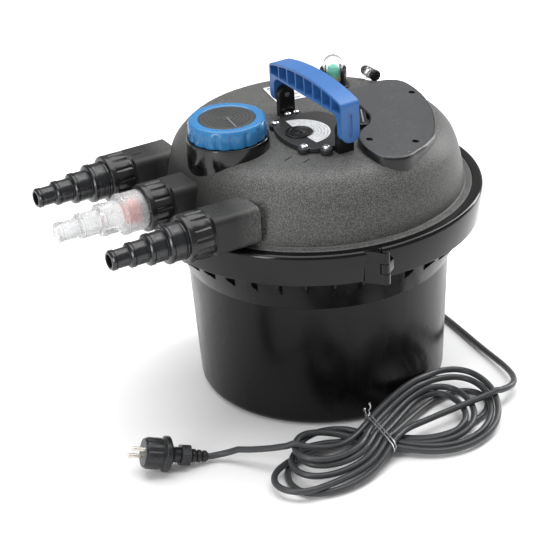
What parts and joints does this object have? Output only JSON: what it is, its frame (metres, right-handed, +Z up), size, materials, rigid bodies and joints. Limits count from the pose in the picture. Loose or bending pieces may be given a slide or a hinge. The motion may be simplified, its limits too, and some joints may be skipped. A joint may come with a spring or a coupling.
{
  "type": "pond pressure filter",
  "caption": "Drum pressure filter for a garden pond: domed lid with stepped hose ports, clamp ring, cleaning selector, folding handle, ultraviolet unit and mains lead.",
  "frame": {"origin": "centre of the drum's flat underside, on the surface that the filter stands on", "axes": "+Z up along the drum's axis; the three hose ports point along -X; the handle lies along Y"},
  "size_m": [0.493, 0.4525, 0.371],
  "materials": {
    "drum_black": "semi-gloss moulded",
    "ring_black": "smooth moulded",
    "lid_grey": "fine speckled texture",
    "cover_grey": "fine grain",
    "fitting_black": "satin moulded",
    "blue": "satin moulded",
    "clear": "clear moulded plastic",
    "steel": "polished",
    "rubber": "satin cable sheath",
    "foil": "printed foil",
    "paper": "printed label",
    "red": "moulded",
    "green": "translucent",
    "foam": "open-cell foam",
    "pin_metal": "nickel-plated"
  },
  "bodies": {
    "filter": {"arc_label": "foil", "ballast_cover": "cover_grey", "bleed_valve": "clear", "bracket_screw_1": "steel", "bracket_screw_2": "steel", "cable_gland": "fitting_black", "centre_plate": "cover_grey", "centre_tube": "fitting_black", "clamp_half_right": "ring_black", "cord_coil": "rubber", "cord_end": "rubber", "cord_lead": "rubber", "cover_screw_1": "steel", "cover_screw_2": "steel", "cover_screw_3": "steel", "drum": "drum_black", "foam_ring_lower": "foam", "foam_ring_middle": "foam", "foam_ring_upper": "foam", "foam_support": "fitting_black", "handle_bracket_left": "fitting_black", "handle_bracket_right": "fitting_black", "handle_pin_left": "steel", "handle_pin_right": "steel", "hose_tail_front": "fitting_black", "hose_tail_middle": "clear", "hose_tail_rear": "fitting_black", "lamp_core": "green", "lamp_holder": "fitting_black", "lamp_lens": "clear", "lamp_socket": "fitting_black", "lid": "lid_grey", "lid_seal": "rubber", "plate_hub": "fitting_black", "plate_screw_1": "steel", "plate_screw_2": "steel", "plate_screw_3": "steel", "plug_body": "rubber", "plug_nut": "rubber", "plug_pin_1": "pin_metal", "plug_pin_2": "pin_metal", "rating_label": "paper", "selector_housing": "ring_black", "tail_gasket_front": "rubber", "tail_gasket_middle": "rubber", "tail_gasket_rear": "rubber", "uvc_lamp": "paper", "uvc_sleeve": "clear"},
    "clamp_left": {"clamp_half_left": "ring_black", "clamp_hinge_pin": "steel"},
    "clamp_knob": {"clamp_knob": "fitting_black"},
    "selector": {"selector_cap": "blue", "selector_disc": "cover_grey", "selector_rotor": "fitting_black"},
    "handle": {"handle": "blue"},
    "float": {"flow_float": "red"},
    "bleed_knob": {"bleed_knob": "fitting_black"},
    "nut_rear": {"union_nut_rear": "fitting_black"},
    "nut_middle": {"union_nut_middle": "fitting_black"},
    "nut_front": {"union_nut_front": "fitting_black"}
  },
  "joints": [
    {"name": "clamp_swing", "type": "hinge", "parent": "filter", "child": "clamp_left", "pos_m": [-0.03144, -0.18789, 0.213], "axis": [0, 0, 1], "range_deg": [0, 35]},
    {"name": "clamp_screw", "type": "hinge", "parent": "clamp_left", "child": "clamp_knob", "pos_m": [0.04033, 0.18976, 0.213], "axis": [-0.9781, 0.2079, 0], "continuous": true},
    {"name": "selector_turn", "type": "hinge", "parent": "filter", "child": "selector", "pos_m": [-0.107, -0.006, 0.326], "axis": [0, 0, 1], "range_deg": [0, 180]},
    {"name": "handle_fold", "type": "hinge", "parent": "filter", "child": "handle", "pos_m": [-0.015, -0.03, 0.328], "axis": [0, 1, 0], "range_deg": [-90, 90]},
    {"name": "float_slide", "type": "slide", "parent": "filter", "child": "float", "axis": [-1, 0, 0], "range_m": [0, 0.006]},
    {"name": "bleed_turn", "type": "hinge", "parent": "filter", "child": "bleed_knob", "pos_m": [0.115, 0.053, 0.309], "axis": [0, 1, 0], "range_deg": [0, 90]},
    {"name": "nut_rear_turn", "type": "hinge", "parent": "filter", "child": "nut_rear", "pos_m": [-0.198, 0.088, 0.2572], "axis": [1, 0, 0], "continuous": true},
    {"name": "nut_middle_turn", "type": "hinge", "parent": "filter", "child": "nut_middle", "pos_m": [-0.198, 0, 0.2572], "axis": [1, 0, 0], "continuous": true},
    {"name": "nut_front_turn", "type": "hinge", "parent": "filter", "child": "nut_front", "pos_m": [-0.198, -0.088, 0.2572], "axis": [1, 0, 0], "continuous": true}
  ]
}
